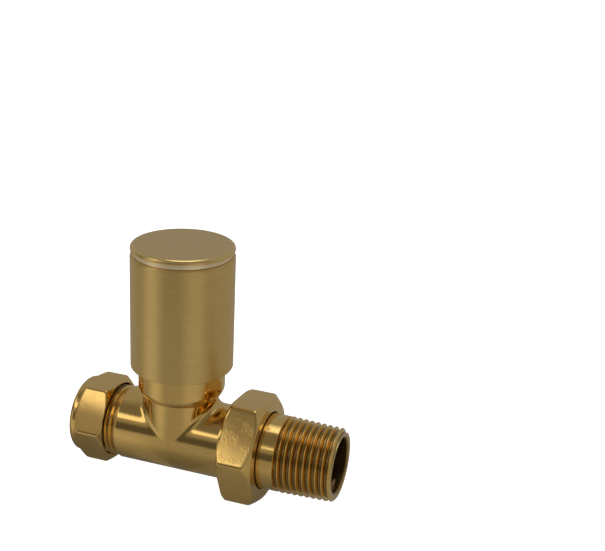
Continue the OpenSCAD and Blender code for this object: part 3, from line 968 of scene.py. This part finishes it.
# %% Band painted bright
def band_brass(name):
    """The band is painted paler than the sleeve, a painted highlight for the light it catches; it
    has turning lines.
    """
    finish = Finish(name)
    lines = finish.noise(0.10, stretch=(60, 60, 1), detail=2)
    clouds = finish.noise(2, detail=3, location=(4, 1, 7))
    # Pale colour: a painted highlight.
    colour = finish.mix(clouds, (0.90, 0.72, 0.44, 1), (0.99, 0.83, 0.56, 1))
    return finish.metal(colour, 0.14 + lines * 0.10, finish.bump(lines, 0.2, 0.01))


band_finish = band_brass("band brass, painted bright")
print("made:", band_finish.name)


# %% Putting the finishes on
def finish_with(material, *pieces):
    for piece in pieces:
        piece.data.materials.clear()
        piece.data.materials.append(material)
        print(material.name, "on", piece.name)


finish_with(polished, pipe_nut, shroud)
finish_with(body_finish, body_casting)
finish_with(tail_finish, radiator_tail)
finish_with(nut_finish, coupling_nut)
finish_with(band_finish, cap_collar)
finish_with(brushed, sleeve)
finish_with(lid_finish, lid)

# %% [markdown]
# ## Inside finishes
# With the cap off the headwork shows: machined brass with the lathe's rings still on it, black
# rubber seals, white nylon and a spring steel clip. New pieces could be turned for them too, but
# their packed solids have the right shape, so they stay, and get these finishes through their own
# material slots.

# %% Machined brass, rubber, nylon and steel
def machined_brass(name, upright):
    """Fine rings left by the lathe tool, square to the axis of the piece."""
    finish = Finish(name)
    stretch = (60, 60, 1) if upright else (1, 60, 60)
    rings = finish.noise(0.12, stretch=stretch, detail=2)
    clouds = finish.noise(3, detail=3, location=(5, 1, 1))
    colour = finish.mix(clouds, (0.72, 0.54, 0.27, 1), (0.82, 0.64, 0.34, 1))
    rough = 0.26 + rings * 0.14 + clouds * 0.06
    return finish.metal(colour, rough, finish.bump(rings, 0.4, 0.02))


def rubber(name):
    finish = Finish(name)
    grain = finish.noise(0.12, detail=3)
    dust = finish.noise(2, detail=4, location=(2, 7, 1)).between(0.45, 0.8)
    colour = finish.mix(dust * 0.5, (0.012, 0.012, 0.013, 1), (0.05, 0.048, 0.045, 1))
    return finish.plain(colour, 0.55 + grain * 0.15, finish.bump(grain, 0.3, 0.02))


def nylon(name):
    finish = Finish(name)
    skin = finish.noise(0.25, detail=3)
    clouds = finish.noise(4, detail=2, location=(3, 3, 1))
    colour = finish.mix(clouds, (0.74, 0.73, 0.69, 1), (0.82, 0.81, 0.77, 1))
    return finish.plain(colour, 0.38 + skin * 0.12, finish.bump(skin, 0.25, 0.02))


def spring_steel(name):
    finish = Finish(name)
    grain = finish.noise(0.1, stretch=(12, 12, 1), detail=2)
    colour = finish.mix(grain, (0.42, 0.42, 0.44, 1), (0.60, 0.60, 0.62, 1))
    return finish.metal(colour, 0.24 + grain * 0.12, finish.bump(grain, 0.3, 0.01))


upright_brass = machined_brass("machined brass, upright", True)
ringed_brass = machined_brass("machined brass, along the run", False)
seal_rubber, white_nylon = rubber("rubber"), nylon("nylon")
clip_steel = spring_steel("spring steel")
inside_finish = {
    upright_brass: ("bonnet", "spindle", "valve_plug"),
    ringed_brass: ("compression_olive",),
    seal_rubber: ("union_seal", "bonnet_seal", "spindle_seal_lower", "spindle_seal_upper",
                  "plug_washer"),
    white_nylon: ("thrust_washer", "cap_insert", "cap_grip_ring"),
    clip_steel: ("spindle_circlip", "plug_screw"),
}
for material, nodes in inside_finish.items():
    for node in nodes:
        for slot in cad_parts[node].material_slots:
            slot.material = material
    print(material.name, "on", ", ".join(nodes))

# %% [markdown]
# ## Studio
# The valve stands on a pale floor in a soft grey room. Polished brass shows all of its room, so the
# room is built for its reflections: dark low down in front, a strip of window high on the left, a
# soft patch at each side and one overhead. The camera itself sees a white room and a near white
# floor. The metal sees the same floor dimmer, with two brighter cards and the valve's own shade on
# it. Lamps alone could do it, but patches of light can be put at the angle that a band needs.

# %% Floor
floor_radius, floor_drop = 4, 0.0001
bpy.ops.object.select_all(action="DESELECT")
bpy.ops.mesh.primitive_circle_add(vertices=96, radius=floor_radius, fill_type="NGON",
                                  location=(0, 0, packed_box[0][2] - floor_drop))
floor = bpy.context.object
floor.name = "floor"
settle(floor)
floor_paper = bpy.data.materials.new("floor")
ground = Tree(floor_paper)
floor.data.materials.append(floor_paper)
sideways, depth = ground.parts(ground.node("ShaderNodeTexCoord", output=3))[:2]
print("the floor lies", round(-floor.data.vertices[0].co.z / MM, 2), "mm below the run's line")


# %% What the metal sees of the floor
def bump_at(value, middle, inner, outer):
    """1 within inner of the middle, 0 beyond outer."""
    return 1 - (value - middle).maths("ABSOLUTE").between(inner, outer)


off_axis = sideways - spindle_x * MM
turn_seen = off_axis.maths("ARCTAN2", depth * -1)
shade_length = bump_at(sideways, 0.002, 0.03, 0.075)
contact_shade = bump_at(depth, 0.0, 0.006, 0.045) * shade_length
left_card = bump_at(turn_seen, math.radians(-44), math.radians(4), math.radians(30))
right_card = bump_at(turn_seen, math.radians(50), math.radians(6), math.radians(34))
paper_end = 1 - depth.between(-0.24, -0.13)
far_glow = bump_at(depth, -0.23, 0.02, 0.06)
floor_light = (0.33 - paper_end * 0.15 + left_card * 0.20 + right_card * 0.12
               + far_glow * 0.16) * (1 - contact_shade * 0.58)
seen_by_gloss = ground.node("ShaderNodeLightPath", output=3)
paper = ground.node("ShaderNodeBsdfDiffuse", None, {"Color": (0.9, 0.9, 0.9, 1)})
lift = ground.node("ShaderNodeEmission", None, {"Color": (1, 1, 1, 1), "Strength": 0.97})
pale = ground.node("ShaderNodeAddShader", None, {0: paper, 1: lift})
mirrored = ground.node("ShaderNodeEmission", None, {
    "Color": (1, 0.96, 0.88, 1), "Strength": floor_light})
ground.node("ShaderNodeOutputMaterial", None, {
    "Surface": ground.node("ShaderNodeMixShader", None, {0: seen_by_gloss, 1: pale, 2: mirrored})})
print("the floor's finish has", len(ground.nodes), "nodes")

# %% Room
world = bpy.data.worlds.new("studio")
bpy.context.scene.world = world
room = Tree(world)
direction = room.node("ShaderNodeTexCoord", output=0)
to_right, to_back, up = room.parts(direction)


def towards(turn, rise):
    """Direction at a turn from straight in front and a rise above the floor, in degrees."""
    turn, rise = math.radians(turn), math.radians(rise)
    return Vector((math.sin(turn) * math.cos(rise), -math.cos(turn) * math.cos(rise),
                   math.sin(rise)))


def soft_patch(turn, rise, inner, outer):
    """A round patch of the room: 1 inside, fading to 0, with its radii in degrees."""
    facing = room.node("ShaderNodeVectorMath", {"operation": "DOT_PRODUCT"},
                       {0: direction, 1: towards(turn, rise)}, output=1)
    return facing.between(math.cos(math.radians(outer)), math.cos(math.radians(inner)))


room_light, wall_drop, ceiling_drop, window_light, overhead_light = 0.34, 0.24, 0.15, 1.0, 0.95
left_light, right_light = 0.40, 0.22
front = 1 - to_back.between(-0.30, 0.25)
dark_wall = 1 - up.between(0.22, 0.44)
turn_of = to_right.maths("ARCTAN2", to_back * -1)
window_side = turn_of.between(math.radians(-75), math.radians(-55)) * (
    1 - turn_of.between(math.radians(-27), math.radians(-9)))
window = up.between(0.47, 0.53) * (1 - (up + to_right * 0.6).between(0.385, 0.455)) * window_side
ceiling = front * up.between(0.55, 0.75)
strength = (room_light - front * dark_wall * wall_drop - ceiling * ceiling_drop
            + window * window_light + soft_patch(180, 84, 14, 22) * overhead_light
            + soft_patch(-47, 4, 8, 20) * left_light + soft_patch(52, 4, 10, 24) * right_light)
warm = room.mix(front, (1, 1, 1, 1), (1, 0.95, 0.85, 1))
grey = room.node("ShaderNodeBackground", None, {"Color": warm, "Strength": strength})
white = room.node("ShaderNodeBackground", None, {"Color": (1, 1, 1, 1), "Strength": 1.0})
seen = room.node("ShaderNodeLightPath", output=0)
room.node("ShaderNodeOutputWorld", None, {
    "Surface": room.node("ShaderNodeMixShader", None, {0: seen, 1: grey, 2: white})})
print("the room has", len(room.nodes), "nodes")


# %% Soft box
lit_point = Vector((spindle_x * MM, 0, 0.015))


def soft_box(name, turn, rise, distance, width, height, radiance):
    """A soft box that shines on the valve from one direction."""
    away = towards(turn, rise)
    lamp = bpy.data.lights.new(name, "AREA")
    lamp.shape, lamp.size, lamp.size_y = "RECTANGLE", width, height
    lamp.energy = radiance * math.pi * width * height
    box = bpy.data.objects.new(name, lamp)
    bpy.context.scene.collection.objects.link(box)
    box.location = lit_point + away * distance
    box.rotation_euler = away.to_track_quat("Z", "Y").to_euler()
    box.visible_camera = False
    print(name, "at", [round(a, 2) for a in box.location], "m")


soft_box("overhead soft box", turn=180, rise=80, distance=1.0, width=0.6, height=0.5,
         radiance=0.4)

# %% [markdown]
# ## Camera
# The camera looks down on the valve from the front and a little from the right, tipped a few
# degrees, with the valve low and to the left in the view. A constraint could aim it, but three
# angles and three distances can be read and changed one by one.

# %% Camera
view_turn, view_rise, view_roll = (math.radians(a) for a in (17.893, 20.055, 2.854))
distance, aside, above = 312.286 * MM, 35.45 * MM, 45.731 * MM
back = Vector((math.sin(view_turn) * math.cos(view_rise),
               -math.cos(view_turn) * math.cos(view_rise), math.sin(view_rise)))
right_hand = Vector((math.cos(view_turn), math.sin(view_turn), 0))
upwards = back.cross(right_hand)
right_rolled = right_hand * math.cos(view_roll) + upwards * math.sin(view_roll)
up_rolled = upwards * math.cos(view_roll) - right_hand * math.sin(view_roll)
lens = bpy.data.cameras.new("camera")
lens.lens, lens.sensor_width = 63.42, 36
lens.clip_start = 0.01
camera = bpy.data.objects.new("camera", lens)
bpy.context.scene.collection.objects.link(camera)
turned_to = Matrix((right_rolled, up_rolled, back)).transposed()
spot = Vector((spindle_x * MM, 0, 0)) + right_rolled * aside + up_rolled * above + back * distance
camera.matrix_world = Matrix.Translation(spot) @ turned_to.to_4x4()
bpy.context.scene.camera = camera
bpy.context.scene.view_settings.view_transform = "Standard"
print("camera at", [round(a / MM, 1) for a in spot], "mm")

# %% Last update of the view layer
bpy.context.view_layer.update()
